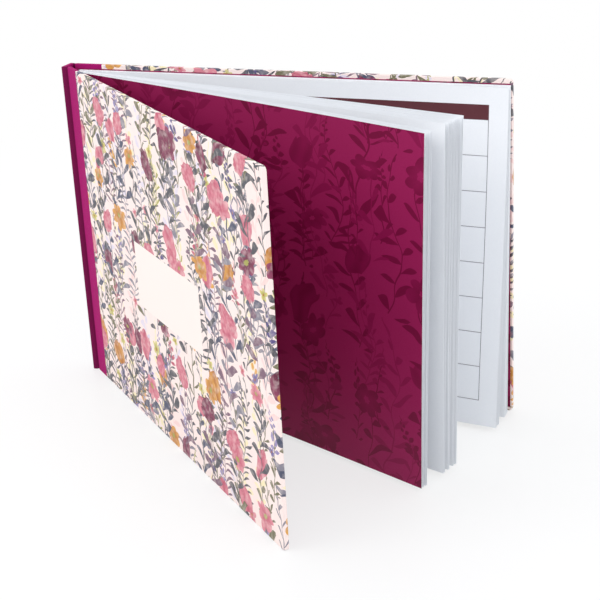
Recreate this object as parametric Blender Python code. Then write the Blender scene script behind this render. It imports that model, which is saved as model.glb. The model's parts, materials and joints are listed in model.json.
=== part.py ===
"""A landscape visitors book, quarter bound in cloth and patterned paper, standing open on its tail.

The case is two boards and a spine inlay, held together by one cloth back. The cloth is creased
beside the spine, and each cover turns on its crease. The text block is sewn signatures between two
flyleaves. Every leaf turns on its own fold, and the folds lean back so that the block can fan.

The closed book runs along X from the spine's face to the fore-edge, along Y from the front cover's
outer face to the rear cover's, and along Z from the tail to the head.
"""

import math

import bmesh
import bpy

# Covers, in metres
COVER_HEIGHT = 0.154
COVER_WIDTH = 0.214
CORNER_RADIUS = 0.002
BOARD_THICKNESS = 0.0015
COVERING_THICKNESS = 0.00022
ENDPAPER_THICKNESS = 0.00014
TURN_IN = 0.012
PASTEDOWN_MARGIN = 0.002
PASTEDOWN_FORE_MARGIN = 0.001
GLUE_LINE = 0.00005

# Cloth back
INLAY_THICKNESS = 0.0014
JOINT_STRIP = 0.0033
FRONT_CLOTH_REACH = 0.0148
REAR_CLOTH_REACH = 0.0177
SEAM_GAP = 0.00006
CREASE_GAP = 0.00012
CREASE_STANDOFF = 0.0001
BOARD_SETBACK = 0.0003
PASTEDOWN_SETBACK = 0.0006

# Text block
SQUARE = 0.0025
FORE_SQUARE = 0.0006
LEAF_THICKNESS = 0.000085
SHEETS_PER_SIGNATURE = 2
SHEET_GAP = 0.00004
SIGNATURE_GAP = 0.00005
FLYLEAF_SETBACK = 0.0013
THREAD_RADIUS = 0.00013
THREAD_CLEARANCE = 0.0001
THREAD_MARGIN = 0.012
MULL_THICKNESS = 0.0002
MULL_MARGIN = 0.009
LINING_THICKNESS = 0.00025
LINING_MARGIN = 0.004

# How far each piece is turned open, in degrees from the closed book
COVER_ANGLE = 41.6
COVER_FULL_ANGLE = 175.0
FLYLEAF_ANGLE = 23.7
SIGNATURE_ANGLES = (23.0, 19.4, 18.4, 17.4, 6.5, 3.05, 2.8, 2.55)
REAR_FLYLEAF_ANGLE = 1.95

# Facets of the round corners, folds and thread, and how far a cutter runs past what it cuts
CORNER_SEGMENTS = 5
FOLD_SEGMENTS = 3
FOLD_ROUNDING = 0.98
TURN_SEGMENTS = 6
THREAD_FACETS = 1
OVERCUT = 0.005

# The layers of a cover, as depths under its outer face
BOARD_TOP = COVERING_THICKNESS + GLUE_LINE
BOARD_BOTTOM = BOARD_TOP + BOARD_THICKNESS
CAVITY_BOTTOM = BOARD_BOTTOM + GLUE_LINE
WRAP_DEPTH = CAVITY_BOTTOM + COVERING_THICKNESS
PASTEDOWN_TOP = WRAP_DEPTH + GLUE_LINE
COVER_DEPTH = PASTEDOWN_TOP + ENDPAPER_THICKNESS
MID_CAVITY = (COVERING_THICKNESS + CAVITY_BOTTOM) / 2

# What turns in the text block, from front to rear: name, thickness and angle
SHEET_STEP = LEAF_THICKNESS + SHEET_GAP
SIGNATURE_THICKNESS = 2 * SHEETS_PER_SIGNATURE * SHEET_STEP - SHEET_GAP
TURNS = [("front_flyleaf", ENDPAPER_THICKNESS, FLYLEAF_ANGLE)]
for number, angle in enumerate(SIGNATURE_ANGLES, start=1):
    TURNS.append((f"signature_{number}", SIGNATURE_THICKNESS, angle))
TURNS.append(("rear_flyleaf", ENDPAPER_THICKNESS, REAR_FLYLEAF_ANGLE))

BLOCK_DEPTH = sum(thickness + SIGNATURE_GAP for name, thickness, angle in TURNS) + SIGNATURE_GAP
CLOSED_DEPTH = 2 * COVER_DEPTH + BLOCK_DEPTH

# The open book's box: its base centre is the origin
COVER_SWING = math.radians(COVER_ANGLE)
FRONT_REACH = ((COVER_WIDTH - JOINT_STRIP) * math.sin(COVER_SWING)
               + CREASE_STANDOFF * (1 - math.cos(COVER_SWING)))
MIDDLE_X = COVER_WIDTH / 2
MIDDLE_Y = (CLOSED_DEPTH - FRONT_REACH) / 2

for old in list(bpy.data.objects):
    bpy.data.objects.remove(old, do_unlink=True)

book = bpy.data.collections.new("visitors_book")
cutters = bpy.data.collections.new("cutters")
bpy.context.scene.collection.children.link(book)
bpy.context.scene.collection.children.link(cutters)


def finish(name, colour, roughness):
    """A matt Principled material in one colour."""
    material = bpy.data.materials.new(name)
    material.use_nodes = True
    shader = material.node_tree.nodes["Principled BSDF"]
    shader.inputs["Base Color"].default_value = (*colour, 1.0)
    shader.inputs["Roughness"].default_value = roughness
    shader.inputs["Metallic"].default_value = 0.0
    return material


FINISHES = {
    "cover_paper": finish("cover_paper", (0.80, 0.62, 0.60), 0.55),
    "book_cloth": finish("book_cloth", (0.30, 0.02, 0.13), 0.80),
    "endpaper": finish("endpaper", (0.20, 0.01, 0.05), 0.65),
    "page": finish("page", (0.84, 0.86, 0.90), 0.75),
    "greyboard": finish("greyboard", (0.33, 0.31, 0.28), 0.90),
    "thread": finish("thread", (0.80, 0.78, 0.72), 0.80),
    "mull": finish("mull", (0.78, 0.74, 0.66), 0.90),
    "kraft": finish("kraft", (0.42, 0.28, 0.16), 0.85),
}


def pivot(name, place, turn=0.0, parent=None):
    """An empty that carries pieces, turned about Z by an angle in degrees."""
    empty = bpy.data.objects.new(name, None)
    empty.location = place
    empty.rotation_euler[2] = math.radians(turn)
    empty.parent = parent
    book.objects.link(empty)
    return empty


def piece(name, data, parent, finish_name):
    """A named piece of the book, under the pivot that carries it."""
    thing = bpy.data.objects.new(name, data)
    thing.parent = parent
    thing.data.materials.append(FINISHES[finish_name])
    book.objects.link(thing)
    return thing


def slab(name, across, deep, tall, corner=0.0, fold=0.0):
    """A box from its X, Y and Z spans, each given in either order.

    corner rounds the two corners of its face at the fore-edge, and fold rounds its back edge.
    """
    spans = [sorted(span) for span in (across, deep, tall)]
    shape = bmesh.new()
    bmesh.ops.create_cube(shape, size=1.0)
    corners = [edge for edge in shape.edges
               if edge.verts[0].co.y != edge.verts[1].co.y and edge.verts[0].co.x > 0]
    folds = [edge for edge in shape.edges
             if edge.verts[0].co.z != edge.verts[1].co.z and edge.verts[0].co.x < 0]
    for vert in shape.verts:
        vert.co = [low + (share + 0.5) * (high - low) for share, (low, high) in zip(vert.co, spans)]
    if corner > 0.0:
        bmesh.ops.bevel(shape, geom=corners, offset=corner, segments=CORNER_SEGMENTS,
                        profile=0.5, affect="EDGES")
    if fold > 0.0:
        bmesh.ops.bevel(shape, geom=folds, offset=fold, segments=FOLD_SEGMENTS,
                        profile=0.5, affect="EDGES")
    mesh = bpy.data.meshes.new(name)
    shape.to_mesh(mesh)
    shape.free()
    return mesh


def carve(thing, *hollows):
    """Cuts hollows out of a piece, each given in the same frame as the piece."""
    for number, hollow in enumerate(hollows, start=1):
        cutter = bpy.data.objects.new(f"{thing.name}_hollow_{number}", hollow)
        cutter.parent = thing.parent
        cutter.hide_render = True
        cutter.display_type = "WIRE"
        cutters.objects.link(cutter)
        cut = thing.modifiers.new(f"hollow_{number}", "BOOLEAN")
        cut.operation = "DIFFERENCE"
        cut.solver = "EXACT"
        cut.object = cutter


root = pivot("book_base", (-MIDDLE_X, -MIDDLE_Y, 0.0))


def cover(side, crease, outer_y, inward, cloth_reach):
    """One cover: its board, the cloth and paper wrapped round it, and its pastedown.

    Everything is placed from the crease that the cover turns on. outer_y is the outer face there,
    inward is the way from that face to the text block, and cloth_reach is where the cloth ends.
    """
    fore_edge = COVER_WIDTH - JOINT_STRIP
    seam = cloth_reach - JOINT_STRIP

    def layer(top, bottom):
        return (outer_y + inward * top, outer_y + inward * bottom)

    def upright(margin):
        return (margin, COVER_HEIGHT - margin)

    def inner_corner(margin):
        return max(CORNER_RADIUS - margin, 0.0)

    def board_room(name, far_end, corner):
        return slab(name, (-OVERCUT, far_end), layer(COVERING_THICKNESS, CAVITY_BOTTOM),
                    upright(COVERING_THICKNESS), corner=corner)

    def window(name, far_end):
        return slab(name, (-OVERCUT, far_end), layer(MID_CAVITY, WRAP_DEPTH + OVERCUT), upright(TURN_IN))

    piece(f"{side}_board",
          slab("board", (CREASE_GAP + BOARD_SETBACK, fore_edge - BOARD_TOP),
               layer(BOARD_TOP, BOARD_BOTTOM), upright(BOARD_TOP), corner=inner_corner(BOARD_TOP)),
          crease, "greyboard")
    cloth = piece(f"{side}_joint_cloth",
                  slab("joint_cloth", (CREASE_GAP, seam - SEAM_GAP / 2),
                       layer(0.0, WRAP_DEPTH), upright(0.0)),
                  crease, "book_cloth")
    carve(cloth, board_room("cloth_room", seam + OVERCUT, 0.0), window("cloth_window", seam + OVERCUT))
    paper = piece(f"{side}_cover_paper",
                  slab("cover_paper", (seam + SEAM_GAP / 2, fore_edge),
                       layer(0.0, WRAP_DEPTH), upright(0.0), corner=CORNER_RADIUS),
                  crease, "cover_paper")
    carve(paper,
          board_room("paper_room", fore_edge - COVERING_THICKNESS, inner_corner(COVERING_THICKNESS)),
          window("paper_window", fore_edge - TURN_IN))
    piece(f"{side}_pastedown",
          slab("pastedown", (PASTEDOWN_SETBACK, fore_edge - PASTEDOWN_FORE_MARGIN),
               layer(PASTEDOWN_TOP, COVER_DEPTH), upright(PASTEDOWN_MARGIN)),
          crease, "endpaper")


front_crease = pivot("front_crease", (JOINT_STRIP, -CREASE_STANDOFF, 0.0), -COVER_ANGLE, root)
rear_crease = pivot("rear_crease", (JOINT_STRIP, CLOSED_DEPTH + CREASE_STANDOFF, 0.0), 0.0, root)
cover("front", front_crease, CREASE_STANDOFF, 1, FRONT_CLOTH_REACH)
cover("rear", rear_crease, -CREASE_STANDOFF, -1, REAR_CLOTH_REACH)

# The cloth back: a spine face and two joint strips, turned in over the inlay at head and tail
inlay_front = COVERING_THICKNESS + GLUE_LINE
inlay_back = inlay_front + INLAY_THICKNESS
inlay_room = inlay_back + GLUE_LINE
turn_in_back = inlay_room + COVERING_THICKNESS
strip_end = JOINT_STRIP - CREASE_GAP
between_strips = (COVERING_THICKNESS, CLOSED_DEPTH - COVERING_THICKNESS)

spine_cloth = piece("spine_cloth",
                    slab("spine_cloth", (0.0, strip_end), (0.0, CLOSED_DEPTH), (0.0, COVER_HEIGHT)),
                    root, "book_cloth")
carve(spine_cloth,
      slab("inlay_room", (COVERING_THICKNESS, inlay_room), between_strips,
           (COVERING_THICKNESS, COVER_HEIGHT - COVERING_THICKNESS)),
      slab("between_turn_ins", ((inlay_front + inlay_back) / 2, strip_end + OVERCUT), between_strips,
           (TURN_IN, COVER_HEIGHT - TURN_IN)),
      slab("behind_turn_ins", (turn_in_back, strip_end + OVERCUT), between_strips,
           (-OVERCUT, COVER_HEIGHT + OVERCUT)))
piece("spine_inlay",
      slab("spine_inlay", (inlay_front, inlay_back),
           (inlay_front, CLOSED_DEPTH - inlay_front), (inlay_front, COVER_HEIGHT - inlay_front)),
      root, "greyboard")

# The text block: each fold is set back from the one in front of it, by as much as keeps the two
# clear of each other when the rear one stands fully open
fold_x = JOINT_STRIP + FLYLEAF_SETBACK
fold_y = COVER_DEPTH + SIGNATURE_GAP + ENDPAPER_THICKNESS / 2
last_thickness = 0.0
folds = {}
for name, thickness, angle in TURNS:
    if folds:
        pitch = (last_thickness + thickness) / 2 + SIGNATURE_GAP
        full_angle = math.radians(angle * COVER_FULL_ANGLE / COVER_ANGLE)
        fold_x += pitch * math.tan(full_angle / 2)
        fold_y += pitch
    last_thickness = thickness
    folds[name] = pivot(f"{name}_fold", (fold_x, fold_y, 0.0), -angle, root)


def leaf_slab(name, fold, half_thickness, past_edges=0.0):
    """A slab from the back of a fold to the trimmed fore-edge, as tall as the leaves."""
    fore_edge = COVER_WIDTH - FORE_SQUARE - fold.location.x
    return slab(name, (-half_thickness, fore_edge + past_edges), (-half_thickness, half_thickness),
                (SQUARE - past_edges, COVER_HEIGHT - SQUARE + past_edges),
                fold=FOLD_ROUNDING * half_thickness)


def flyleaf(name):
    """The free half of an endpaper."""
    piece(name, leaf_slab(name, folds[name], ENDPAPER_THICKNESS / 2), folds[name], "endpaper")


def signature(name):
    """Sheets folded once and nested, the outermost first."""
    for number in range(SHEETS_PER_SIGNATURE):
        outside = SIGNATURE_THICKNESS / 2 - number * SHEET_STEP
        inside = outside - LEAF_THICKNESS
        sheet = piece(f"{name}_sheet_{number + 1}", leaf_slab(name, folds[name], outside),
                      folds[name], "page")
        carve(sheet, leaf_slab(f"{name}_room", folds[name], inside, OVERCUT))


for name, thickness, angle in TURNS:
    if name.endswith("flyleaf"):
        flyleaf(name)
    else:
        signature(name)

# The sewing: one thread up the back of a fold and down the next, from the first signature to the last
stitch_setback = SIGNATURE_THICKNESS / 2 + THREAD_CLEARANCE + THREAD_RADIUS
stitch_low = SQUARE + THREAD_MARGIN
stitch_high = COVER_HEIGHT - stitch_low
runs = [(fold.location.x - stitch_setback, fold.location.y)
        for name, fold in folds.items() if name.startswith("signature")]
route = [(*runs[0], stitch_low)]
for number, (here, there) in enumerate(zip(runs, runs[1:])):
    rising = number % 2 == 0
    level = stitch_high if rising else stitch_low
    bulge = math.dist(here, there) / 2 * (1 if rising else -1)
    for step in range(TURN_SEGMENTS + 1):
        turn = math.pi * step / TURN_SEGMENTS
        share = (1 - math.cos(turn)) / 2
        route.append((here[0] + (there[0] - here[0]) * share,
                      here[1] + (there[1] - here[1]) * share,
                      level + bulge * math.sin(turn)))
route.append((*runs[-1], stitch_low if len(runs) % 2 == 0 else stitch_high))

stitching = bpy.data.curves.new("sewing_thread", "CURVE")
stitching.dimensions = "3D"
stitching.bevel_depth = THREAD_RADIUS
stitching.bevel_resolution = THREAD_FACETS
stitching.use_fill_caps = True
spline = stitching.splines.new("POLY")
spline.points.add(len(route) - 1)
for point, place in zip(spline.points, route):
    point.co = (*place, 1.0)
piece("sewing_thread", stitching, root, "thread")


def back_strip(name, setback, thickness, margin, finish_name):
    """A strip glued down the sewn back: it follows the folds across the block and runs up the spine."""
    front_y = COVER_DEPTH + SIGNATURE_GAP
    rear_y = CLOSED_DEPTH - front_y
    across = [(runs[0][0], front_y), *runs, (runs[-1][0], rear_y)]
    shape = bmesh.new()
    columns = []
    for x, y in across:
        columns.append([shape.verts.new((x - setback, y, z)) for z in (margin, COVER_HEIGHT - margin)])
    for left, right in zip(columns, columns[1:]):
        shape.faces.new((left[0], right[0], right[1], left[1]))
    made = bmesh.ops.extrude_face_region(shape, geom=list(shape.faces))
    raised = [item for item in made["geom"] if isinstance(item, bmesh.types.BMVert)]
    bmesh.ops.translate(shape, verts=raised, vec=(-thickness, 0.0, 0.0))
    bmesh.ops.recalc_face_normals(shape, faces=shape.faces)
    mesh = bpy.data.meshes.new(name)
    shape.to_mesh(mesh)
    shape.free()
    piece(name, mesh, root, finish_name)


mull_setback = THREAD_RADIUS + THREAD_CLEARANCE
back_strip("mull", mull_setback, MULL_THICKNESS, SQUARE + MULL_MARGIN, "mull")
back_strip("spine_lining", mull_setback + MULL_THICKNESS + GLUE_LINE, LINING_THICKNESS,
           SQUARE + LINING_MARGIN, "kraft")
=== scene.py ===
"""The looks of a landscape visitors book, standing open on its tail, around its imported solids.

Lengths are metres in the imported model's frame: X runs along the closed book from the spine to the
fore-edge, Y from the front cover to the rear one, and Z up from the tail to the head.
"""

import json
import math

import bmesh
import bpy
import numpy as np
from mathutils import Matrix, Vector


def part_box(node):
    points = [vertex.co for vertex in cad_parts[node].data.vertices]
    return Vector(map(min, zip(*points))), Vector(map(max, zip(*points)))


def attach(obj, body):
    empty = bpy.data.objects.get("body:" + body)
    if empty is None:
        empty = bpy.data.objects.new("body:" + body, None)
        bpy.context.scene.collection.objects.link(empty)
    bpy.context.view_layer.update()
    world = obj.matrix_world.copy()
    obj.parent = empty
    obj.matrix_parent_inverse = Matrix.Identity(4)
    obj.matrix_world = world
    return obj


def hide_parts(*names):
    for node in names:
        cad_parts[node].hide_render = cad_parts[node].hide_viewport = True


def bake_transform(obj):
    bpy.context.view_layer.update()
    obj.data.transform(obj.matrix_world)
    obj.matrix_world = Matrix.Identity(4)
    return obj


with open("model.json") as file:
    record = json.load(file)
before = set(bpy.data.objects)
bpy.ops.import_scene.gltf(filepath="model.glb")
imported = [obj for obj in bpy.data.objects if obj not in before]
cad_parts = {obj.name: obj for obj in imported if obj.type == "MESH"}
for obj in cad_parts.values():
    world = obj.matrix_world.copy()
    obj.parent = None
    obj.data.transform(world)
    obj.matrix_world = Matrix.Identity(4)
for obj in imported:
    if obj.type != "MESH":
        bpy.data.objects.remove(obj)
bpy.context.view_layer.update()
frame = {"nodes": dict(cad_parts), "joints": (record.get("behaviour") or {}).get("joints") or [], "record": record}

# Signatures: eight, each of two sheets of white writing paper folded once and nested, so four leaves.
# Their pages are ruled for entries under a dark heading band. The sheets are sewn through the fold,
# trimmed square, and stand fanned in groups, more open at the tail than at the head.

LEAF_THICKNESS = 0.0001
LEAF_STEPS = 44
FOLD_STEPS = 4
UPRIGHT_STEPS = 32
SETTLING_ROUNDS = 12
WELD = 1e-6
SHARP_ANGLE = 35.0

# How far a signature's leaves stand open, as shares of its solid's angle: its first leaf at the head
# and the tail, then its last leaf at the head and the tail
OPEN_SHARES = {
    1: (0.902, 0.984, 0.863, 0.959),
    2: (0.898, 0.976, 0.856, 0.965),
    3: (0.886, 0.9815, 0.842, 0.972),
    4: (0.874, 0.985, 0.802, 0.949),
    5: (0.065, 0.900, 0.040, 0.740),
    6: (0.028, 0.900, 0.027, 0.860),
    7: (0.028, 0.910, 0.027, 0.870),
    8: (0.028, 0.920, 0.026, 0.800),
}
LEAF_SPREAD = (0.0, 0.2, 0.75, 1.0)
LEAF_BOW = 0.06
LEAF_SAG = 0.0004
FIRST_LEAF_SAG = 0.001

# The printed table, from the fold and from the foot of the cover
TABLE_LEFT = 0.016
TABLE_RIGHT = 0.1985
TABLE_FOOT = 0.0142
TABLE_ROWS = 8
ROW_HEIGHT = 0.01543
HEADING_HEIGHT = 0.0064
COLUMN_RULES = (0.046, 0.104)
RULE_WIDTH = 0.0003

joints = {joint["child"]: joint for joint in frame["joints"]}
cover_angle = -joints["front_cover"]["range_deg"][0]
shares = {link["joint"]: link["ratio"] for link in frame["record"]["behaviour"]["couplings"]}


def open_angle(body):
    """How far a body stands open at rest, in radians from the closed book."""
    share = {"front_cover": 1.0, "rear_cover": 0.0}.get(body)
    if share is None:
        share = shares[joints[body]["name"]]
    return math.radians(cover_angle * share)


def turned(points, body, angle):
    """Points given from a body's hinge with the book closed, turned open by an angle and set in the frame.

    x = hinge x + X cos + Y sin, and y = hinge y - X sin + Y cos.
    """
    x, y, z = points[..., 0], points[..., 1], points[..., 2]
    hinge_x, hinge_y, middle = joints[body]["pos_m"]
    return np.stack([hinge_x + x * np.cos(angle) + y * np.sin(angle),
                     hinge_y - x * np.sin(angle) + y * np.cos(angle), z], axis=-1)


def closed_box(node, body):
    """The lowest and highest corner of a solid, from its hinge and with the book closed."""
    mesh = frame["nodes"][node].data
    points = np.empty(len(mesh.vertices) * 3, np.float32)
    mesh.vertices.foreach_get("co", points)
    points = points.reshape(-1, 3).astype(float)
    hinge_x, hinge_y, middle = joints[body]["pos_m"]
    x, y = points[:, 0] - hinge_x, points[:, 1] - hinge_y
    angle = open_angle(body)
    closed = np.stack([x * np.cos(angle) - y * np.sin(angle),
                       x * np.sin(angle) + y * np.cos(angle), points[:, 2]], axis=-1)
    return closed.min(axis=0), closed.max(axis=0)


def piece(name, patches, finishes):
    """A closed mesh from patches, each a grid of points, their places on the flat sheet, and a finish.

    Neighbours on a grid are joined by quads, and the patches are welded where they meet.
    """
    points, places, quads, marks = [], [], [], []
    first = 0
    for grid, sheet, finish in patches:
        rows, columns = grid.shape[:2]
        index = first + np.arange(rows * columns).reshape(rows, columns)
        first += rows * columns
        quad = np.stack([index[:-1, :-1], index[1:, :-1], index[1:, 1:], index[:-1, 1:]], axis=-1)
        quads.append(quad.reshape(-1, 4))
        points.append(grid.reshape(-1, 3))
        places.append(sheet.reshape(-1, 2))
        marks.append(np.full(len(quads[-1]), finish))
    points, places, quads, marks = map(np.concatenate, (points, places, quads, marks))
    mesh = bpy.data.meshes.new(name)
    mesh.from_pydata(points.tolist(), [], quads.tolist())
    mesh.uv_layers.new(name="sheet").data.foreach_set("uv", places[quads.ravel()].astype(np.float32).ravel())
    for finish in finishes:
        mesh.materials.append(finish)
    mesh.polygons.foreach_set("material_index", marks.astype(np.int32))
    shape = bmesh.new()
    shape.from_mesh(mesh)
    bmesh.ops.remove_doubles(shape, verts=shape.verts, dist=WELD)
    bmesh.ops.recalc_face_normals(shape, faces=shape.faces)
    shape.to_mesh(mesh)
    shape.free()
    mesh.shade_smooth()
    mesh.set_sharp_from_angle(angle=math.radians(SHARP_ANGLE))
    made = bpy.data.objects.new(name, mesh)
    bpy.context.scene.collection.objects.link(made)
    return made


def rim(face, back, sheet, finish):
    """The strip between matching borders of a sheet's two faces."""
    return np.stack([face, back]), np.stack([sheet, sheet]), finish


def closed_sheet(name, face, back, sheet, finishes):
    """A sheet from its two faces, with a rim on all four sides. Finishes are the face's, back's and rim's."""
    patches = [(face, sheet, 0), (back, sheet, 1)]
    patches += [rim(face[end], back[end], sheet[end], 2) for end in (0, -1)]
    patches += [rim(face[:, end], back[:, end], sheet[:, end], 2) for end in (0, -1)]
    return piece(name, patches, finishes)


def leaf(name, body, offsets, length, heights, head_share, tail_share, sag, finishes):
    """A leaf that fans out from its fold.

    From the fold's back a face runs round a quarter circle and then straight to the fore-edge. Each
    point is turned by the body's angle times a share s = t t (3 - 2 t), where t grows evenly from the
    head to the tail and a little from the fold to the fore-edge, which sags evenly.
    """
    tail, head = heights
    quarter = np.linspace(0.0, math.pi / 2, FOLD_STEPS, endpoint=False)
    straight = np.linspace(0.0, length, LEAF_STEPS)
    upright = np.linspace(tail, head, UPRIGHT_STEPS)
    flats = []
    for offset in offsets:
        x = np.concatenate([-abs(offset) * np.cos(quarter), straight])
        y = np.concatenate([offset * np.sin(quarter), np.full(LEAF_STEPS, offset)])
        z = upright[None, :] - sag * x[:, None] / length
        flats.append(np.stack(np.broadcast_arrays(x[:, None], y[:, None], z), axis=-1))
    along = np.concatenate([-abs(offsets[0]) * (math.pi / 2 - quarter), straight])
    sheet = np.stack(np.broadcast_arrays(along[:, None], upright[None, :]), axis=-1)
    head_step, tail_step = (0.5 - math.sin(math.asin(1 - 2 * share) / 3)
                            for share in (head_share, tail_share))
    slope = np.array([LEAF_BOW / length, 0.0, (head_step - tail_step) / (head - tail)])
    run = slope / (slope @ slope)
    hinge_x, hinge_y, middle = joints[body]["pos_m"]
    start = np.array([hinge_x, hinge_y, head]) - (head_step - LEAF_BOW) * run
    faces = []
    for flat in flats:
        share = tail_share
        for settling in range(SETTLING_ROUNDS):
            rest = turned(flat, body, share * open_angle(body))
            step = np.clip((rest - start) @ slope, 0.0, 1.0)
            share = step * step * (3 - 2 * step)
        faces.append(rest)
    made = closed_sheet(name, faces[0], faces[1], sheet, finishes)
    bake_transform(made)
    return made


class Shade:
    """A socket of a material's nodes, so that shader maths reads as Python.

    An operator on values adds one Math node, and any other node comes from the method node.
    """

    def __init__(self, tree, socket=None):
        self.tree = tree
        self.socket = socket

    def node(self, kind, settings=None, sockets=None, output=0):
        """A new node: first its settings, a ramp's stops among them, then its sockets' values or links."""
        made = self.tree.nodes.new(kind)
        for name, value in (settings or {}).items():
            if name == "stops":
                stops = made.color_ramp.elements
                while len(stops) < len(value):
                    stops.new(1.0)
                for stop, (position, colour) in zip(stops, value):
                    stop.position = position
                    stop.color = colour
            elif name == "steps":
                made.color_ramp.interpolation = value
            else:
                setattr(made, name, value)
        for name, value in (sockets or {}).items():
            if isinstance(value, Shade):
                self.tree.links.new(value.socket, made.inputs[name])
            else:
                made.inputs[name].default_value = value
        return Shade(self.tree, made.outputs[output])

    def part(self, output):
        """Another output of the same node."""
        return Shade(self.tree, self.socket.node.outputs[output])

    def maths(self, operation, *values):
        return self.node("ShaderNodeMath", {"operation": operation}, dict(enumerate((self, *values))))

    def __add__(self, other):
        return self.maths("ADD", other)

    __radd__ = __add__

    def __sub__(self, other):
        return self.maths("SUBTRACT", other)

    def __rsub__(self, other):
        return self.node("ShaderNodeMath", {"operation": "SUBTRACT"}, {0: other, 1: self})

    def __mul__(self, other):
        return self.maths("MULTIPLY", other)

    __rmul__ = __mul__

    def __truediv__(self, other):
        return self.maths("DIVIDE", other)

    def __lt__(self, other):
        return self.maths("LESS_THAN", other)

    def __gt__(self, other):
        return self.maths("GREATER_THAN", other)

    def __or__(self, other):
        return self.maths("MAXIMUM", other)

    def __abs__(self):
        return self.maths("ABSOLUTE")

    def choose(self, off, on):
        """One colour where this value is 0, and another where it is 1."""
        return self.node("ShaderNodeMix", {"data_type": "RGBA"}, {0: self, 6: off, 7: on}, output=2)

    def pick(self, *inks):
        """One of several colours, by this value from 0 to 1."""
        stops = [(number / len(inks), ink) for number, ink in enumerate(inks)]
        return self.node("ShaderNodeValToRGB", {"steps": "CONSTANT", "stops": stops}, {0: self})


def ink(red, green, blue):
    """A colour from its 0 to 255 screen values, as linear light."""
    linear = [((c / 255 + 0.055) / 1.055) ** 2.4 if c > 10 else c / 255 / 12.92 for c in (red, green, blue)]
    return (*linear, 1.0)


def new_finish(name):
    """A new material, the place on its flat sheet, and that place along and up in millimetres."""
    material = bpy.data.materials.new(name)
    material.use_nodes = True
    start = Shade(material.node_tree)
    sheet = start.node("ShaderNodeUVMap", {"uv_map": "sheet"})
    flat = sheet.node("ShaderNodeSeparateXYZ", {}, {0: sheet})
    return material, sheet, (flat * 1000.0, flat.part("Y") * 1000.0)


def dress(material, colour, roughness, height=None, depth=0.0, **constants):
    """Feeds a material's shader: colour, roughness, a bump of a height in metres, and constants."""
    shader = material.node_tree.nodes["Principled BSDF"]
    start = Shade(material.node_tree)
    for socket, value in (("Base Color", colour), ("Roughness", roughness)):
        if isinstance(value, Shade):
            material.node_tree.links.new(value.socket, shader.inputs[socket])
        else:
            shader.inputs[socket].default_value = value
    if height is not None:
        bump = start.node("ShaderNodeBump", {}, {"Height": height, "Distance": depth, "Strength": 1.0})
        material.node_tree.links.new(bump.socket, shader.inputs["Normal"])
    for socket, value in constants.items():
        shader.inputs[socket.replace("_", " ")].default_value = value
    return material


PAPER_WHITE = ink(246, 248, 251)
PAPER_SHADOW = ink(239, 242, 247)
HEADING_INK = ink(92, 42, 50)
RULE_INK = ink(128, 122, 132)
FIBRE_SCALE = 1400.0


def writing_paper(name, ruled):
    """Smooth white paper with a faint cloud of fibres, and the printed table if it is ruled."""
    material, sheet, (along, up) = new_finish(name)
    surface = sheet.node("ShaderNodeTexCoord", output="Object")
    fibre = surface.node("ShaderNodeTexNoise", {}, {"Vector": surface, "Scale": FIBRE_SCALE, "Detail": 3.0})
    colour = fibre.choose(PAPER_WHITE, PAPER_SHADOW)
    if ruled:
        left, right, foot = TABLE_LEFT * 1000, TABLE_RIGHT * 1000, TABLE_FOOT * 1000
        row, half = ROW_HEIGHT * 1000, RULE_WIDTH * 500
        top = foot + TABLE_ROWS * row
        crest = top + HEADING_HEIGHT * 1000
        within = (along > left - half) * (along < right + half)
        level = (up - foot) / row
        off_row = abs(level - level.maths("ROUND")) * row
        rules = (off_row < half) * within * (up > foot - half) * (up < top + half)
        for column in (TABLE_LEFT, *COLUMN_RULES, TABLE_RIGHT):
            rules = rules | (abs(along - column * 1000) < half) * (up > foot) * (up < crest)
        colour = rules.choose(colour, RULE_INK)
        colour = (within * (up > top) * (up < crest)).choose(colour, HEADING_INK)
    return dress(material, colour, 0.62 + 0.12 * fibre, fibre, 0.00001, Specular_IOR_Level=0.35)


plain_page = writing_paper("plain_page", ruled=False)
ruled_page = writing_paper("ruled_page", ruled=True)

for number, (first_head, first_tail, last_head, last_tail) in OPEN_SHARES.items():
    body = f"section_{number}"
    low, high = closed_box(f"signature_{number}_sheet_1", body)
    inner_low, inner_high = closed_box(f"signature_{number}_sheet_2", body)
    outsides = (low[1], inner_low[1], inner_high[1], high[1])
    for place, outside in enumerate(outsides):
        share = LEAF_SPREAD[place]
        inside = outside - math.copysign(LEAF_THICKNESS, outside)
        page = plain_page if (number, place) == (1, 0) else ruled_page
        made = leaf(f"signature_{number}_leaf_{place + 1}", body, (outside, inside), high[0],
                    (low[2], high[2]),
                    first_head + (last_head - first_head) * share,
                    first_tail + (last_tail - first_tail) * share,
                    FIRST_LEAF_SAG if number == 1 else LEAF_SAG, [page] * 3)
        sheet_number = 1 if outside in (low[1], high[1]) else 2
        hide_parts(f"signature_{number}_sheet_{sheet_number}")

# Flyleaves: the free halves of the endpapers, tipped on at the first and last fold. The paper is
# printed burgundy on one side, with a tone-on-tone growth of flowers and ferns, and its edge is white.

ENDPAPER_LIGHT = ink(156, 26, 88)
ENDPAPER_MIDDLE = ink(138, 10, 74)
ENDPAPER_DARK = ink(118, 0, 58)
ENDPAPER_SCALE = 1.1
STEM = 0.24
BARE = 1000.0
FLYLEAF_SHARES = {"front": (0.888, 0.965), "rear": (0.030, 0.900)}


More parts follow.
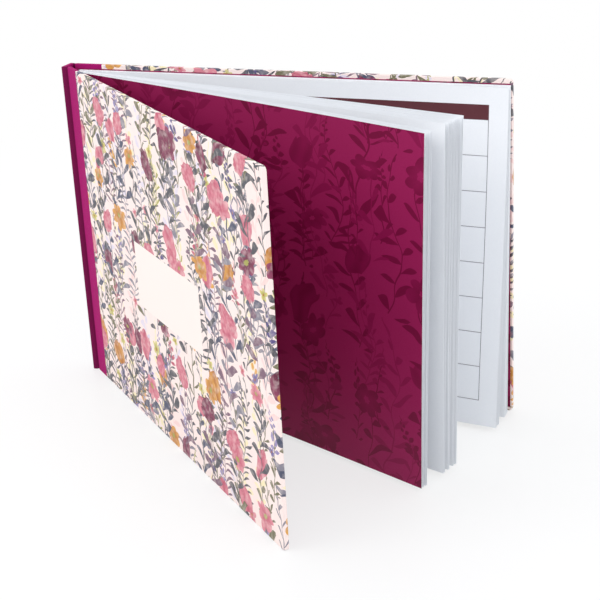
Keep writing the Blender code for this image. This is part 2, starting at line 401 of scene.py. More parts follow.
def bed(place, size, seed, sway, grown_share):
    """Splits the sheet into beds, one plant to each, in columns raised by chance. Some stay bare.

    Returns the place from the plant's stem, in millimetres, and three chances of that bed. The stem
    follows sway sin(2 pi (y / height + chance)).
    """
    width, height = size
    across = place[0] / width + seed * 0.37
    column = across.maths("FLOOR")
    lift = column.node("ShaderNodeTexWhiteNoise", {"noise_dimensions": "1D"}, {"W": column + seed * 3.1})
    level = place[1] / height + lift
    row = level.maths("FLOOR")
    corner = row.node("ShaderNodeCombineXYZ", {}, {0: column, 1: row, 2: seed * 1.7})
    chance = row.node("ShaderNodeTexWhiteNoise", {"noise_dimensions": "3D"}, {"Vector": corner},
                      output="Color")
    turn = chance.node("ShaderNodeSeparateColor", {}, {0: chance})
    y = (level - row - 0.5) * height
    x = (across - column - 0.5) * width - ((y / height + turn) * math.tau).maths("SINE") * sway
    bare = chance.part("Value") > grown_share
    return x, y + bare * BARE, (turn, turn.part("Green"), turn.part("Blue"))


def wavering(sheet, place, amount, scale):
    """Places shifted here and there by up to half an amount, so that no two plants are alike."""
    cloud = sheet.node("ShaderNodeTexNoise", {}, {"Vector": sheet, "Scale": scale, "Detail": 1.0},
                       output="Color")
    shift = cloud.node("ShaderNodeSeparateColor", {}, {0: cloud})
    return place[0] + (shift - 0.5) * amount, place[1] + (shift.part("Green") - 0.5) * amount


def sprig(x, y, reach, pitch, breadth, rise):
    """Leaves on both sides of a stem: 1 inside a leaf.

    A leaf runs outwards and up in an arc, reach long and breadth wide, and the next starts a pitch
    higher. Its width follows 4 a (1 - a), where a is the share of the way from the stem to its tip.
    """
    out = abs(x)
    share = out / reach
    step = (y - out * (rise - share * (0.45 * rise))) / pitch + (x > 0.0) * 0.5
    off = abs(step.maths("FRACT") - 0.5) * pitch
    return off < share * (1 - share) * (2 * breadth)


def plant(ground, place, seed, size, sway, grown_share, leaves, greens, top, bloom=None):
    """Paints one kind of plant: a leafy stem in each bed that is grown, up to a top with its bloom."""
    x, y, (turn, tint, grown) = bed(place, size, seed, sway, grown_share)
    reach, pitch, breadth, rise = leaves
    taper = ((top - y) * (2.6 / size[1])).maths("MINIMUM", 1.0)
    green = sprig(x, y, taper * reach, pitch, breadth, rise) | (abs(x) < STEM) * (y < top)
    painted = green.choose(ground, grown.pick(*greens))
    return bloom(painted, x, y - top, turn, tint, grown) if bloom else painted


def tilted(x, y, angle):
    """A place turned about the bloom's middle."""
    cosine, sine = angle.maths("COSINE"), angle.maths("SINE")
    return x * cosine - y * sine, x * sine + y * cosine


def open_bloom(radius, petals, notch, inks, heart):
    """A flower from the front. Its edge lies at radius (1 - notch + notch |cos(petals turn / 2)|)."""
    pale, deep = zip(*inks)

    def paint(ground, x, y, turn, tint, grown):
        x, y = tilted(x, y * 1.2, turn * math.tau)
        fold = abs((x.maths("ARCTAN2", y) * (petals / 2)).maths("COSINE"))
        edge = (fold * notch + (1 - notch)) * (grown * 0.35 + 0.8) * radius
        share = (x * x + y * y).maths("SQRT") / edge
        petal = (share * (fold * 0.6 + 0.4)).choose(tint.pick(*deep), tint.pick(*pale))
        painted = (share < 1.0).choose(ground, petal)
        return (share < 0.22).choose(painted, heart)

    return paint


def cup_bloom(width, height, inks):
    """A flower cup from the side, three pointed. Its half width follows sin(pi (0.16 + 0.62 level))."""
    pale, deep = zip(*inks)

    def paint(ground, x, y, turn, tint, grown):
        x, y = tilted(x, y, (turn - 0.5) * 1.3)
        level = y / height + 0.5
        half = (level * (0.62 * math.pi) + 0.16 * math.pi).maths("SINE") * (width / 2)
        points = abs((x * (1.5 * math.pi / width)).maths("COSINE")) * 0.24
        share = (abs(x) / half) | (level / (points + 0.78)) | (0.5 - level) * 2.0
        streak = (x * (3 * math.pi / width)).maths("COSINE") * 0.3 + 0.3
        petal = (share * 0.5 + streak).choose(tint.pick(*pale), tint.pick(*deep))
        return (share < 1.0).choose(ground, petal)

    return paint


def spike_bloom(length, reach, pitch, breadth, inks):
    """A spike of buds that shrink to the tip."""

    def paint(ground, x, y, turn, tint, grown):
        buds = sprig(x, y, (0.5 - y / length) * reach, pitch, breadth, 0.35) * (y > -length / 2)
        return buds.choose(ground, tint.pick(*inks))

    return paint


def endpaper():
    """Burgundy paper with plants in two darker tones."""
    material, sheet, place = new_finish("endpaper")
    place = wavering(sheet, [side / ENDPAPER_SCALE for side in place], 14.0, 45.0)
    tones = (ENDPAPER_MIDDLE, ENDPAPER_DARK)
    pairs = (tones, tones[::-1])
    colour = plant(ENDPAPER_LIGHT, place, 3, (21.0, 66.0), 2.4, 0.8, (7.8, 9.0, 3.0, 0.9), tones, 30.0)
    colour = plant(colour, place, 5, (17.0, 52.0), 1.8, 0.55, (6.2, 4.4, 1.5, 0.7), tones, 22.0)
    colour = plant(colour, place, 8, (29.0, 61.0), 2.8, 0.85, (10.5, 15.0, 3.8, 1.1), tones, 14.0,
                   cup_bloom(13.0, 14.0, pairs))
    colour = plant(colour, place, 12, (13.0, 37.0), 1.4, 0.6, (4.4, 7.0, 1.5, 1.4), tones, 6.0,
                   spike_bloom(17.0, 4.2, 3.3, 2.0, tones))
    colour = plant(colour, place, 14, (26.0, 45.0), 2.2, 0.85, (9.0, 13.0, 3.2, 0.9), tones, 10.0,
                   open_bloom(7.4, 6, 0.34, pairs, ENDPAPER_LIGHT))
    surface = sheet.node("ShaderNodeTexCoord", output="Object")
    grain = sheet.node("ShaderNodeTexNoise", {}, {"Vector": surface, "Scale": FIBRE_SCALE, "Detail": 3.0})
    colour = ((grain - 0.4) * 0.5).choose(colour, ENDPAPER_MIDDLE)
    return dress(material, colour, 0.5 + 0.14 * grain, grain, 0.000012, Specular_IOR_Level=0.28)


burgundy_endpaper = endpaper()

for side, (head_share, tail_share) in FLYLEAF_SHARES.items():
    body = f"{side}_endleaf"
    low, high = closed_box(f"{side}_flyleaf", body)
    finishes = [burgundy_endpaper, plain_page, plain_page]
    if side == "rear":
        finishes = [plain_page, burgundy_endpaper, plain_page]
    made = leaf(f"{side}_free_endpaper", body, (low[1], high[1]), high[0], (low[2], high[2]),
                head_share, tail_share, FIRST_LEAF_SAG if side == "front" else 0.0, finishes)
    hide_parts(f"{side}_flyleaf")

# Sewing thread: one white linen thread, up the back of one fold and down the next.
# It is spun of plies that twist round each other, and the mull and the glue hold it down.

PLY_PITCH = 0.0006


def solid_finish(name):
    """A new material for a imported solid, and the place on its surface."""
    material = bpy.data.materials.new(name)
    material.use_nodes = True
    return material, Shade(material.node_tree).node("ShaderNodeTexCoord", output="Object")


def refinish(node, finish):
    """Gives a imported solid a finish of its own."""
    materials = frame["nodes"][node].data.materials
    materials.clear()
    materials.append(finish)


def sewing_thread():
    """Off-white linen, with the plies as slanting stripes."""
    material, surface = solid_finish("linen_thread")
    flat = surface.node("ShaderNodeSeparateXYZ", {}, {0: surface})
    ply = ((flat + flat.part("Y") + flat.part("Z")) * (math.tau / PLY_PITCH)).maths("SINE") * 0.5 + 0.5
    return dress(material, ply.choose(ink(206, 199, 183), ink(240, 236, 226)), 0.8, ply, 0.00003)


refinish("sewing_thread", sewing_thread())

# Mull and spine lining: a starched open gauze glued over the sewing, and a strip of brown kraft
# paper glued over that, which stiffens the back of the block.

MULL_PITCH = 0.0012
KRAFT_SCALE = 700.0


def mull():
    """Cream gauze: threads up and across, with darker glue in the meshes between them."""
    material, surface = solid_finish("gauze")
    flat = surface.node("ShaderNodeSeparateXYZ", {}, {0: surface})
    warp = (flat.part("Y") * (math.tau / MULL_PITCH)).maths("SINE") * 0.5 + 0.5
    weft = (flat.part("Z") * (math.tau / MULL_PITCH)).maths("SINE") * 0.5 + 0.5
    threads = warp | weft
    return dress(material, threads.choose(ink(150, 132, 100), ink(226, 216, 192)), 0.85, threads, 0.0001)


def kraft():
    """Brown paper with long fibres up the spine."""
    material, surface = solid_finish("kraft_paper")
    drawn = surface.node("ShaderNodeMapping", {}, {"Vector": surface, "Scale": (1.0, 1.0, 0.2)})
    fibre = drawn.node("ShaderNodeTexNoise", {}, {"Vector": drawn, "Scale": KRAFT_SCALE, "Detail": 4.0})
    return dress(material, fibre.choose(ink(146, 112, 76), ink(190, 156, 116)), 0.82, fibre, 0.00003)


refinish("mull", mull())
refinish("spine_lining", kraft())

# Boards and spine inlay: grey pulp board, cut square. The covers' boards and the inlay of the spine
# lie under the cloth and the paper, which are glued to them.


def greyboard():
    """Grey-brown pulp with darker and paler flecks."""
    material, surface = solid_finish("greyboard")
    cloud = surface.node("ShaderNodeTexNoise", {}, {"Vector": surface, "Scale": 320.0, "Detail": 6.0})
    fleck = surface.node("ShaderNodeTexVoronoi", {}, {"Vector": surface, "Scale": 900.0})
    colour = cloud.choose(ink(122, 116, 106), ink(176, 170, 158))
    colour = (fleck < 0.16).choose(colour, ink(92, 84, 74))
    return dress(material, colour, 0.9, cloud, 0.00008)


pulp = greyboard()
for node in ("front_board", "rear_board", "spine_inlay"):
    refinish(node, pulp)

# Cloth back: one strip of plum book cloth over the spine, across both joints and onto the boards.
# It is glued down, turned in at head and tail, and pressed into a groove where each cover hinges.

CLOTH_THICKNESS = 0.0002
CLOTH_TURN_IN = 0.012
CLOTH_CORNER = 0.0006
CLOTH_EDGE = 0.00032
CLOTH_DOUBLED = 0.0005
GROOVE_DEPTH = 0.00055
BEND_BEFORE = 0.0011
BEND_AFTER = 0.0003
BEND_EASE = 0.0004
GROOVE_RUN = 0.00045
WRAP_LEAD = 0.0002
WRAP_RUN = 0.0005
CLOTH_GLUE = 0.0001
SEAM_CLEARANCE = 0.00004
THREAD_PITCH = 0.00042
# Where the painted shade lies on the cloth, along it from the middle of the spine
PAINTED_SHADE_STRIP = (0.0042, 0.0074)
CLOTH_DEEP = ink(138, 0, 82)
CLOTH_BRIGHT = ink(190, 12, 122)
# The dark plum painted on the joint strips as shade
CLOTH_PAINTED_SHADE = ink(98, 0, 58)

spine_low, spine_high = (np.array(corner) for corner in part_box("spine_cloth"))
inlay_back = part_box("spine_inlay")[1].x + CLOTH_THICKNESS + CLOTH_GLUE - spine_low[0]


def smooth(value):
    """0 below 0, 1 above 1, and t t (3 - 2 t) between."""
    step = np.clip(value, 0.0, 1.0)
    return step * step * (3 - 2 * step)


def edge_profile(height, edge, inset):
    """The section of a wrapped edge, from the end of one turn-in over the face to the end of the other.

    Gives heights, shares of the way through the wrap, and offsets that come on top of these shares.
    """
    arc = np.linspace(0.0, math.pi / 2, 5)
    bend = edge - inset
    turn_in = np.linspace(CLOTH_TURN_IN, edge, 4)[:-1]
    rise = np.linspace(edge, height / 2, 8)[1:]
    up = np.concatenate([turn_in, edge - bend * np.sin(arc), edge - bend * np.cos(arc), rise])
    through = np.concatenate([np.ones(len(turn_in) + len(arc)), np.zeros(len(arc) + len(rise))])
    offset = np.concatenate([np.full(len(turn_in), -inset), -edge + bend * np.cos(arc),
                             edge - bend * np.sin(arc), np.full(len(rise), inset)])
    flip = slice(-2, None, -1)
    return (np.concatenate([up, height - up[flip]]), np.concatenate([through, through[flip]]),
            np.concatenate([offset, offset[flip]]))


def cloth_half(side):
    """Half the cloth back, from the middle of the spine to its edge on one cover.

    Its path runs down the spine's face, round the corner, along the joint strip and onto the board.
    From each point of the path the section goes through to the turn-in behind it.
    """
    body = f"{side}_cover"
    hinge_x, hinge_y, middle = joints[body]["pos_m"]
    inward = 1.0 if side == "front" else -1.0
    outer_y = spine_low[1] if side == "front" else spine_high[1]
    height = spine_high[2] - spine_low[2]
    half_spine = (spine_high[1] - spine_low[1]) / 2
    crease = hinge_x - spine_low[0]
    low, high = closed_box(f"{side}_joint_cloth", body)
    wrap = high[1] - low[1]
    reach = crease + high[0] - SEAM_CLEARANCE
    arc = np.linspace(0.0, math.pi / 2, 7)
    down = np.linspace(half_spine, CLOTH_CORNER, 8)[:-1]
    strip = np.linspace(CLOTH_CORNER, crease - BEND_BEFORE, 7)[1:]
    bend_end = crease + BEND_AFTER + BEND_EASE
    bend = np.linspace(crease - BEND_BEFORE, bend_end, 17)[1:]
    board = np.linspace(bend_end, reach, 9)[1:]
    level_run = np.zeros(len(strip) + len(bend) + len(board))
    x = np.concatenate([np.zeros(len(down)), CLOTH_CORNER * (1 - np.cos(arc)), strip, bend, board])
    deep = np.concatenate([down, CLOTH_CORNER * (1 - np.sin(arc)), level_run])
    groove = smooth((x - CLOTH_CORNER) / (crease - CLOTH_CORNER)) * (1 - smooth((x - crease) / GROOVE_RUN))
    deep = deep + GROOVE_DEPTH * groove
    behind = CLOTH_DOUBLED + (wrap - CLOTH_DOUBLED) * smooth((x - crease + WRAP_LEAD) / WRAP_RUN)
    back_x = np.maximum(x, inlay_back)
    back_deep = np.maximum(np.maximum(deep, behind), np.where(x > inlay_back, deep + CLOTH_DOUBLED, 0.0))
    way = np.stack([back_x - x, back_deep - deep], axis=-1)
    span = np.linalg.norm(way, axis=-1)
    way = way / span[:, None]
    travel = np.concatenate([[0.0], np.cumsum(np.hypot(np.diff(x), np.diff(deep)))])
    grids = []
    for inset in (0.0, CLOTH_THICKNESS):
        up, through, offset = edge_profile(height, min(CLOTH_EDGE, CLOTH_DOUBLED / 2), inset)
        depth = through[None, :] * span[:, None] + offset[None, :]
        closed = np.stack([x[:, None] + way[:, :1] * depth - crease,
                           inward * (deep[:, None] + way[:, 1:] * depth) + outer_y - hinge_y,
                           np.broadcast_to(up[None, :] + spine_low[2], depth.shape)], axis=-1)
        share = np.zeros(depth.shape)
        for settling in range(SETTLING_ROUNDS * 3):
            rest = turned(closed, body, share * open_angle(body))
            target = smooth((rest[..., 0] - hinge_x + BEND_BEFORE) / (BEND_BEFORE + BEND_AFTER))
            share = (share + target) / 2
        grids.append(rest)
        if inset == 0.0:
            round_edge = np.concatenate([[0.0], np.cumsum(np.hypot(np.diff(up), np.diff(depth[-1])))])
            sheet = np.stack(np.broadcast_arrays(travel[:, None], round_edge[None, :]), axis=-1)
    made = closed_sheet(f"{side}_half_cloth_back", grids[0], grids[1], sheet, [book_cloth] * 3)
    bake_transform(made)
    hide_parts(f"{side}_joint_cloth", "spine_cloth")


def plum_cloth():
    """Plain weave of fine threads, with painted shade on the joint strips beside the spine."""
    material, sheet, (along, up) = new_finish("book_cloth")
    pitch = THREAD_PITCH * 1000
    warp = (along * (math.tau / pitch)).maths("SINE")
    weft = (up * (math.tau / pitch)).maths("SINE")
    weave = warp * weft * 0.5 + 0.5
    slub = sheet.node("ShaderNodeTexNoise", {}, {"Vector": sheet, "Scale": 420.0, "Detail": 3.0})
    colour = (weave * 0.45 + slub * 0.5).choose(CLOTH_DEEP, CLOTH_BRIGHT)
    # Painted shade: the strip of cloth over each joint beside the spine is darkened.
    painted_shade = (along > PAINTED_SHADE_STRIP[0] * 1000) * (along < PAINTED_SHADE_STRIP[1] * 1000)
    colour = (painted_shade * 0.8).choose(colour, CLOTH_PAINTED_SHADE)
    return dress(material, colour, 0.7 + 0.14 * slub, weave + slub * 0.6, 0.00005, Specular_IOR_Level=0.2)


book_cloth = plum_cloth()
cloth_half("front")
cloth_half("rear")

# Cover papers: a patterned paper wrapped round each board and turned in on three sides, with its
# fourth edge on the cloth. It is printed with a meadow of many small plants on a pale pink ground.
# A blank panel for a title lies on the front.

PAPER_THICKNESS = 0.0002
PAPER_TURN_IN = 0.012
PAPER_EDGE = 0.00034
PAPER_CORNER = 0.002
PANEL_MIDDLE = (106.3, 72.8)
PANEL_SIZE = (72.0, 30.2)
MEADOW_SCALE = 1.18
GROUND = ink(252, 238, 232)
GROUND_BLUSH = ink(250, 226, 222)
PINK, PINK_DEEP = ink(230, 150, 162), ink(192, 88, 112)
PLUM, PLUM_DEEP = ink(156, 72, 104), ink(96, 28, 56)
OCHRE, OCHRE_DEEP = ink(226, 166, 82), ink(180, 110, 40)
LAVENDER, LAVENDER_DEEP = ink(150, 138, 184), ink(92, 80, 134)
LEMON, LEMON_DEEP = ink(226, 214, 130), ink(168, 164, 84)
SLATE, SMOKE, OLIVE, MAUVE = ink(84, 83, 90), ink(138, 134, 146), ink(116, 112, 84), ink(128, 98, 116)
BLUE_SLATE = ink(80, 84, 106)
PALE_ROSE, PALE_LILAC, PALE_SAND = ink(246, 214, 210), ink(228, 218, 232), ink(246, 232, 190)


def pompom_bloom(radius, inks):
    """A round head of many florets."""
    pale, deep = zip(*inks)

    def paint(ground, x, y, turn, tint, grown):
        share = (x * x + y * y).maths("SQRT") / ((grown * 0.3 + 0.85) * radius)
        spot = share.node("ShaderNodeCombineXYZ", {}, {0: x, 1: y, 2: tint * 30.0})
        floret = spot.node("ShaderNodeTexVoronoi", {}, {"Vector": spot, "Scale": 0.7})
        petal = (floret * 0.8 + share * 0.35).choose(tint.pick(*pale), tint.pick(*deep))
        return (share + floret * 0.22 < 1.0).choose(ground, petal)

    return paint


def meadow_paper():
    """Matt paper, printed from the palest plants at the back to the largest flowers in front."""
    material, sheet, place = new_finish("meadow_paper")
    wash = sheet.node("ShaderNodeTexNoise", {}, {"Vector": sheet, "Scale": 95.0, "Detail": 3.0})
    pinks, plums, ochres = (PINK, PINK_DEEP), (PLUM, PLUM_DEEP), (OCHRE, OCHRE_DEEP)
    lavenders, lemons = (LAVENDER, LAVENDER_DEEP), (LEMON, LEMON_DEEP)
    colour = wash.choose(GROUND, GROUND_BLUSH)
    plot = wavering(sheet, [side / MEADOW_SCALE for side in place], 8.0, 70.0)
    colour = plant(colour, plot, 2, (11.0, 46.0), 0.9, 0.9, (4.4, 6.6, 2.6, 0.9),
                   (PALE_ROSE, PALE_LILAC, PALE_SAND), 20.0)
    colour = plant(colour, plot, 3, (16.0, 57.0), 1.6, 0.65, (6.2, 2.9, 1.1, 0.6),
                   (SMOKE, MAUVE, SLATE), 25.0)
    colour = plant(colour, plot, 5, (9.0, 35.0), 0.8, 0.45, (3.6, 5.4, 1.3, 1.7),
                   (OLIVE, SLATE, SMOKE, LEMON_DEEP), 15.0)
    colour = plant(colour, plot, 7, (11.0, 39.0), 1.2, 0.6, (3.8, 7.5, 1.3, 1.6), (SMOKE, OLIVE), 7.0,
                   spike_bloom(17.0, 3.8, 2.7, 1.7, (LAVENDER_DEEP, LAVENDER, PINK_DEEP, OCHRE)))
    colour = plant(colour, plot, 11, (10.0, 27.0), 1.0, 0.5, (3.8, 5.5, 1.6, 1.2), (OLIVE, SLATE), 7.0,
                   open_bloom(2.8, 5, 0.5, (lemons, lavenders, pinks), OCHRE_DEEP))
    colour = plant(colour, plot, 13, (17.0, 41.0), 1.4, 0.8, (6.4, 8.5, 2.7, 1.2),
                   (SLATE, BLUE_SLATE, OLIVE), 10.0, cup_bloom(9.0, 10.4, (plums, pinks, ochres)))
    colour = plant(colour, plot, 17, (20.0, 45.0), 1.5, 0.75, (7.4, 9.5, 3.0, 1.0),
                   (SLATE, OLIVE, SMOKE), 11.0,
                   open_bloom(6.0, 7, 0.28, (ochres, plums, pinks), LEMON_DEEP))
    colour = plant(colour, plot, 19, (22.0, 43.0), 1.3, 0.75, (8.0, 10.0, 3.1, 0.9),
                   (BLUE_SLATE, SLATE, MAUVE), 9.0, pompom_bloom(5.6, (pinks, plums, pinks)))
    bleed = sheet.node("ShaderNodeTexNoise", {}, {"Vector": sheet, "Scale": 330.0, "Detail": 4.0})
    colour = ((bleed - 0.46) * 1.4).choose(colour, GROUND)
    along, up = place
    panel = abs(along - PANEL_MIDDLE[0]) < PANEL_SIZE[0] / 2
    panel = panel * (abs(up - PANEL_MIDDLE[1]) < PANEL_SIZE[1] / 2)
    colour = panel.choose(colour, GROUND)
    surface = sheet.node("ShaderNodeTexCoord", output="Object")
    grain = sheet.node("ShaderNodeTexNoise", {}, {"Vector": surface, "Scale": FIBRE_SCALE, "Detail": 3.0})
    return dress(material, colour, 0.5 + 0.16 * grain, grain, 0.000012, Specular_IOR_Level=0.4)


def cover_paper(side):
    """The wrap of one cover: its edges run from the seam at the tail round to the seam at the head.

    At each point of that path the section goes from the face's middle line out to the edge, round it,
    and back to the end of the turn-in. The places on the flat sheet go straight on past the edge.
    """
    body = f"{side}_cover"
    low, high = closed_box(f"{side}_cover_paper", body)
    seam, fore_edge, height, wrap = low[0], high[0], high[2], high[1] - low[1]
    inward = 1.0 if side == "front" else -1.0
    outer = low[1] if side == "front" else high[1]
    arc = np.linspace(0.0, math.pi / 2, 9)
    run = np.linspace(seam, fore_edge - PAPER_CORNER, 24)
    rise = np.linspace(PAPER_CORNER, height - PAPER_CORNER, 18)[1:-1]
    end = fore_edge - PAPER_CORNER
    level, sheer = np.zeros(len(run) - 1), np.zeros(len(rise))
    x = np.concatenate([run[:-1], end + PAPER_CORNER * np.sin(arc), sheer + fore_edge,
                        end + PAPER_CORNER * np.cos(arc), run[-2::-1]])
    z = np.concatenate([level, PAPER_CORNER * (1 - np.cos(arc)), rise,
                        height - PAPER_CORNER * (1 - np.sin(arc)), level + height])
    out_x = np.concatenate([level, np.sin(arc), sheer + 1.0, np.cos(arc), level])
    out_z = np.concatenate([level - 1.0, -np.cos(arc), sheer, np.sin(arc), level + 1.0])
    edge = np.stack([x, z], axis=-1)
    out = np.stack([out_x, out_z], axis=-1)
    middle = np.stack([np.minimum(x, fore_edge - height / 2), np.full(len(x), height / 2)], axis=-1)
    window = np.stack([np.minimum(x, fore_edge - PAPER_TURN_IN),
                       np.clip(z, PAPER_TURN_IN, height - PAPER_TURN_IN)], axis=-1)
    ring = edge - out * PAPER_EDGE
    inner_bend = np.linspace(0.0, math.pi / 2, 6)
    grids = []
    for inset in (0.0, PAPER_THICKNESS):
        bend = PAPER_EDGE - inset
        steps = [(middle + (ring - middle) * share, inset) for share in (0.0, 0.4, 0.8)]
        steps += [(ring + out * bend * math.sin(turn), PAPER_EDGE - bend * math.cos(turn))
                  for turn in inner_bend]
        steps += [(ring + out * bend * math.cos(turn), wrap - PAPER_EDGE + bend * math.sin(turn))
                  for turn in inner_bend]
        steps += [(ring + (window - ring) * share, wrap - inset) for share in (0.3, 1.0)]
        closed = np.stack([np.stack([flat[:, 0], np.full(len(x), outer + inward * depth), flat[:, 1]],
                                    axis=-1) for flat, depth in steps], axis=1)
        grids.append(turned(closed, body, open_angle(body)))
        if inset == 0.0:
            flats = np.stack([flat for flat, depth in steps], axis=1)
            depths = np.array([depth for flat, depth in steps])
            moves = np.hypot(np.linalg.norm(np.diff(flats, axis=1), axis=-1), np.diff(depths)[None, :])
            past = np.concatenate([np.zeros((len(x), 1)), np.cumsum(moves, axis=1)], axis=1)
            past = np.maximum(past - past[:, 3:4], 0.0)
            sheet = np.where((past > 0.0)[..., None], ring[:, None] + out[:, None] * past[..., None], flats)
    if side == "rear":
        sheet = sheet * (-1.0, 1.0)
    patches = [(grids[0], sheet, 0), (grids[1], sheet, 0)]
    patches += [rim(grids[0][:, -1], grids[1][:, -1], sheet[:, -1], 0)]
    patches += [rim(grids[0][end], grids[1][end], sheet[end], 0) for end in (0, -1)]
    made = piece(f"{side}_patterned_paper", patches, [patterned_paper])
    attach(made, body)
    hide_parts(f"{side}_cover_paper")


patterned_paper = meadow_paper()
cover_paper("front")
cover_paper("rear")

# Pastedowns: the fixed halves of the burgundy endpapers, glued over the turn-ins inside each cover.

PASTEDOWN_STEPS = 8

for side in ("front", "rear"):
    body = f"{side}_cover"
    low, high = closed_box(f"{side}_pastedown", body)
    along = np.linspace(low[0], high[0], PASTEDOWN_STEPS)
    upright = np.linspace(low[2], high[2], PASTEDOWN_STEPS)
    sheet = np.stack(np.broadcast_arrays(along[:, None], upright[None, :]), axis=-1)
    faces = []
    for y in (low[1], high[1]):
        flat = np.stack([sheet[..., 0], np.full(sheet.shape[:2], y), sheet[..., 1]], axis=-1)
        faces.append(turned(flat, body, open_angle(body)))
    made = closed_sheet(f"{side}_pasted_endpaper", faces[0], faces[1], sheet, [burgundy_endpaper] * 3)
    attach(made, body)
    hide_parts(f"{side}_pastedown")

# Endpaper joints: between its two halves each endpaper lines the joint. It runs round the board's
# spine edge to the crease, and from there in front of the hollow back to the fold of the flyleaf.

JOINT_PAPER = 0.00003
JOINT_CLEARANCE = 0.00005
CREASE_DEPTH = 0.0006
PASTE_LINE = 0.00001
FOLD_EASE = 1.3


def joint_paper(name, side, body, angle, corners, heights):
    """A strip of endpaper round corners, each a distance from the crease and a depth under the face."""
    corners = np.array(corners)
    lengths = np.hypot(*np.diff(corners, axis=0).T)
    travel = np.concatenate([[0.0], np.cumsum(lengths)])
    course = np.diff(corners, axis=0) / lengths[:, None]
    square = np.stack([-course[:, 1], course[:, 0]], axis=-1)
    square = np.stack([square[[0, *range(len(square))]], square[[*range(len(square)), -1]]]).mean(axis=0)
    square = square / np.sum(square * square, axis=-1, keepdims=True)
    inward = 1.0 if side == "front" else -1.0
    faces = []
    for offset in (0.0, JOINT_PAPER):
        x, deep = (corners + offset * square).T
        flat = np.stack(np.broadcast_arrays(x[:, None], inward * deep[:, None], np.array(heights)), axis=-1)
        faces.append(turned(flat, f"{side}_cover", angle))
    sheet = np.stack(np.broadcast_arrays(travel[:, None], np.array(heights)), axis=-1)
    made = closed_sheet(f"{side}_{name}", faces[0], faces[1], sheet, [burgundy_endpaper] * 3)
    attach(made, body)


for side in ("front", "rear"):
    body = f"{side}_cover"
    low, high = closed_box(f"{side}_pastedown", body)
    board = closed_box(f"{side}_board", body)[0][0] - JOINT_CLEARANCE
    outside, inside = sorted((abs(low[1]), abs(high[1])))
    heights = (low[2], high[2])
    middle_depth = (outside + inside) / 2
    edge = [(low[0] - JOINT_CLEARANCE, middle_depth), (board, middle_depth), (board, CREASE_DEPTH)]
    joint_paper("edge_endpaper", side, body, open_angle(body), edge, heights)
    flyleaf_low = closed_box(f"{side}_flyleaf", f"{side}_endleaf")[0]
    fold = joints[f"{side}_endleaf"]["pos_m"][0] + flyleaf_low[0] - joints[body]["pos_m"][0]
    bend = board - 2 * JOINT_CLEARANCE
    under = inside + PASTE_LINE
    fold_end = fold - JOINT_CLEARANCE
    course = [(0.0, CREASE_DEPTH), (bend, CREASE_DEPTH + bend), (bend, under - bend / 2),
              (bend * FOLD_EASE, under), (fold_end, under)]
    joint_paper("joint_endpaper", side, "spine", 0.0, course, (flyleaf_low[2], high[2]))

# Floor: a plain white table top, which runs on past every view. To the camera it is mostly plain
# white near the book, so that the shadow on it stays soft, and all plain white further off.

FLOOR_SIZE = 12.0
FLOOR_LIFT = 0.70
SHADOW_REACH = (0.24, 0.60)
FLOOR_COLOUR = ink(244, 244, 244)
FLOOR_ROUGHNESS = 0.4
WHITE = (1.0, 1.0, 1.0, 1.0)


def seeing_rays(start):
    """1 for the rays that show the background as it looks: those of the camera, of gloss and of glass."""
    camera, gloss, glass = (start.node("ShaderNodeLightPath", output=f"Is {kind} Ray")
                            for kind in ("Camera", "Glossy", "Transmission"))
    return camera | gloss | glass


bpy.ops.mesh.primitive_plane_add(size=FLOOR_SIZE)
floor = bpy.context.object
floor.name = "floor"
floor_finish = bpy.data.materials.new("floor")
floor_finish.use_nodes = True
start = Shade(floor_finish.node_tree)
nodes = floor_finish.node_tree.nodes
nodes["Principled BSDF"].inputs["Base Color"].default_value = FLOOR_COLOUR
nodes["Principled BSDF"].inputs["Roughness"].default_value = FLOOR_ROUGHNESS
rays = seeing_rays(start)
white = start.node("ShaderNodeEmission", {}, {"Color": WHITE, "Strength": 1.0})
lit = Shade(floor_finish.node_tree, nodes["Principled BSDF"].outputs[0])
surface = start.node("ShaderNodeTexCoord", output="Object")
away = surface.node("ShaderNodeVectorMath", {"operation": "LENGTH"}, {0: surface}, output="Value")
fade = ((away - SHADOW_REACH[0]) / (SHADOW_REACH[1] - SHADOW_REACH[0])).maths("MINIMUM", 1.0) | 0.0
lifted = rays * (fade * (1.0 - FLOOR_LIFT) + FLOOR_LIFT)
mixed = rays.node("ShaderNodeMixShader", {}, {0: lifted, 1: lit, 2: white})
floor_finish.node_tree.links.new(mixed.socket, nodes["Material Output"].inputs["Surface"])
floor.data.materials.append(floor_finish)

# Light: a cool white room that is brighter above, and a large soft lamp on each side in front.

ROOM_COLOUR = (0.975, 0.992, 1.018, 1.0)
WALL_LIGHT, CEILING_LIGHT = 0.52, 1.28
LAMPS = {
    "left_lamp": ((-1.15, -0.85, 1.05), 0.9, 7.3, (1.0, 0.976, 0.95)),
    "right_lamp": ((1.30, -0.75, 0.75), 0.9, 4.5, (1.0, 1.0, 1.0)),
}
LAMP_AIM = (0.0, 0.0, 0.08)

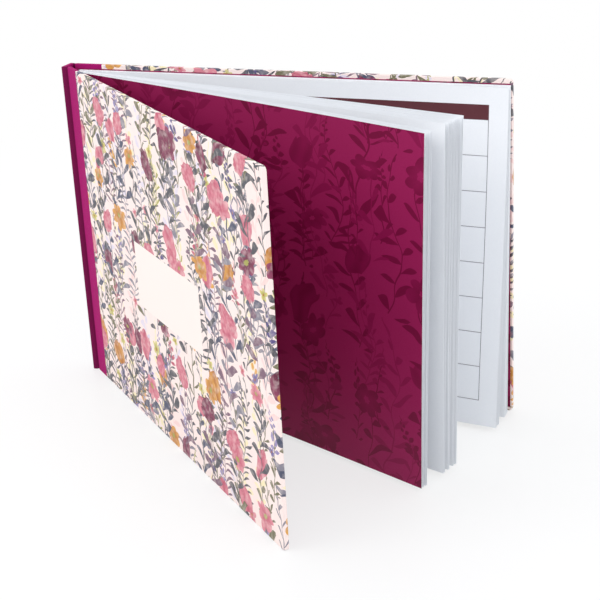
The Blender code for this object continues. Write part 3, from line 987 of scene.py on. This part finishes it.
world = bpy.data.worlds.new("white_room")
bpy.context.scene.world = world
world.use_nodes = True
start = Shade(world.node_tree)
rays = seeing_rays(start)
backdrop = world.node_tree.nodes["Background"]
direction = start.node("ShaderNodeTexCoord", output="Generated")
height = direction.node("ShaderNodeSeparateXYZ", {}, {0: direction}, output="Z") | 0.0
room = height * (CEILING_LIGHT - WALL_LIGHT) + WALL_LIGHT
world.node_tree.links.new(rays.choose(ROOM_COLOUR, WHITE).socket, backdrop.inputs["Color"])
world.node_tree.links.new((room + rays * (1.0 - room)).socket, backdrop.inputs["Strength"])


def soft_lamp(name, place, aim, size, power, colour):
    """A square lamp that faces a point."""
    lamp = bpy.data.lights.new(name, "AREA")
    lamp.size = size
    lamp.energy = power
    lamp.color = colour
    made = bpy.data.objects.new(name, lamp)
    bpy.context.scene.collection.objects.link(made)
    facing = (Vector(place) - Vector(aim)).to_track_quat("Z", "Y")
    made.matrix_world = Matrix.Translation(place) @ facing.to_matrix().to_4x4()


for name, (place, size, power, colour) in LAMPS.items():
    soft_lamp(name, place, LAMP_AIM, size, power, colour)

# Camera: stands in front of the fore-edge, a little above the book, and looks down at it.

CAMERA_PLACE = (0.2589, -0.5389, 0.2970)
CAMERA_YAW, CAMERA_PITCH, CAMERA_ROLL = -22.57, 20.85, -3.07
FOCAL_PIXELS = 1503.4
PHOTO_PIXELS = 600
SENSOR = 36.0

yaw, pitch, roll = (math.radians(angle) for angle in (CAMERA_YAW, CAMERA_PITCH, CAMERA_ROLL))
ahead = np.array([math.sin(yaw) * math.cos(pitch), math.cos(yaw) * math.cos(pitch), -math.sin(pitch)])
level = np.array([math.cos(yaw), -math.sin(yaw), 0.0])
upward = np.cross(level, ahead)
right = math.cos(roll) * level + math.sin(roll) * upward
top = math.cos(roll) * upward - math.sin(roll) * level
camera_data = bpy.data.cameras.new("camera")
camera_data.sensor_width = SENSOR
camera_data.lens = FOCAL_PIXELS / PHOTO_PIXELS * SENSOR
camera_data.clip_start = 0.05
camera = bpy.data.objects.new("camera", camera_data)
bpy.context.scene.collection.objects.link(camera)
turn = np.stack([right, top, -ahead], axis=-1)
camera.matrix_world = Matrix.Translation(CAMERA_PLACE) @ Matrix(turn.tolist()).to_4x4()
bpy.context.scene.camera = camera
bpy.context.scene.view_settings.view_transform = "Standard"
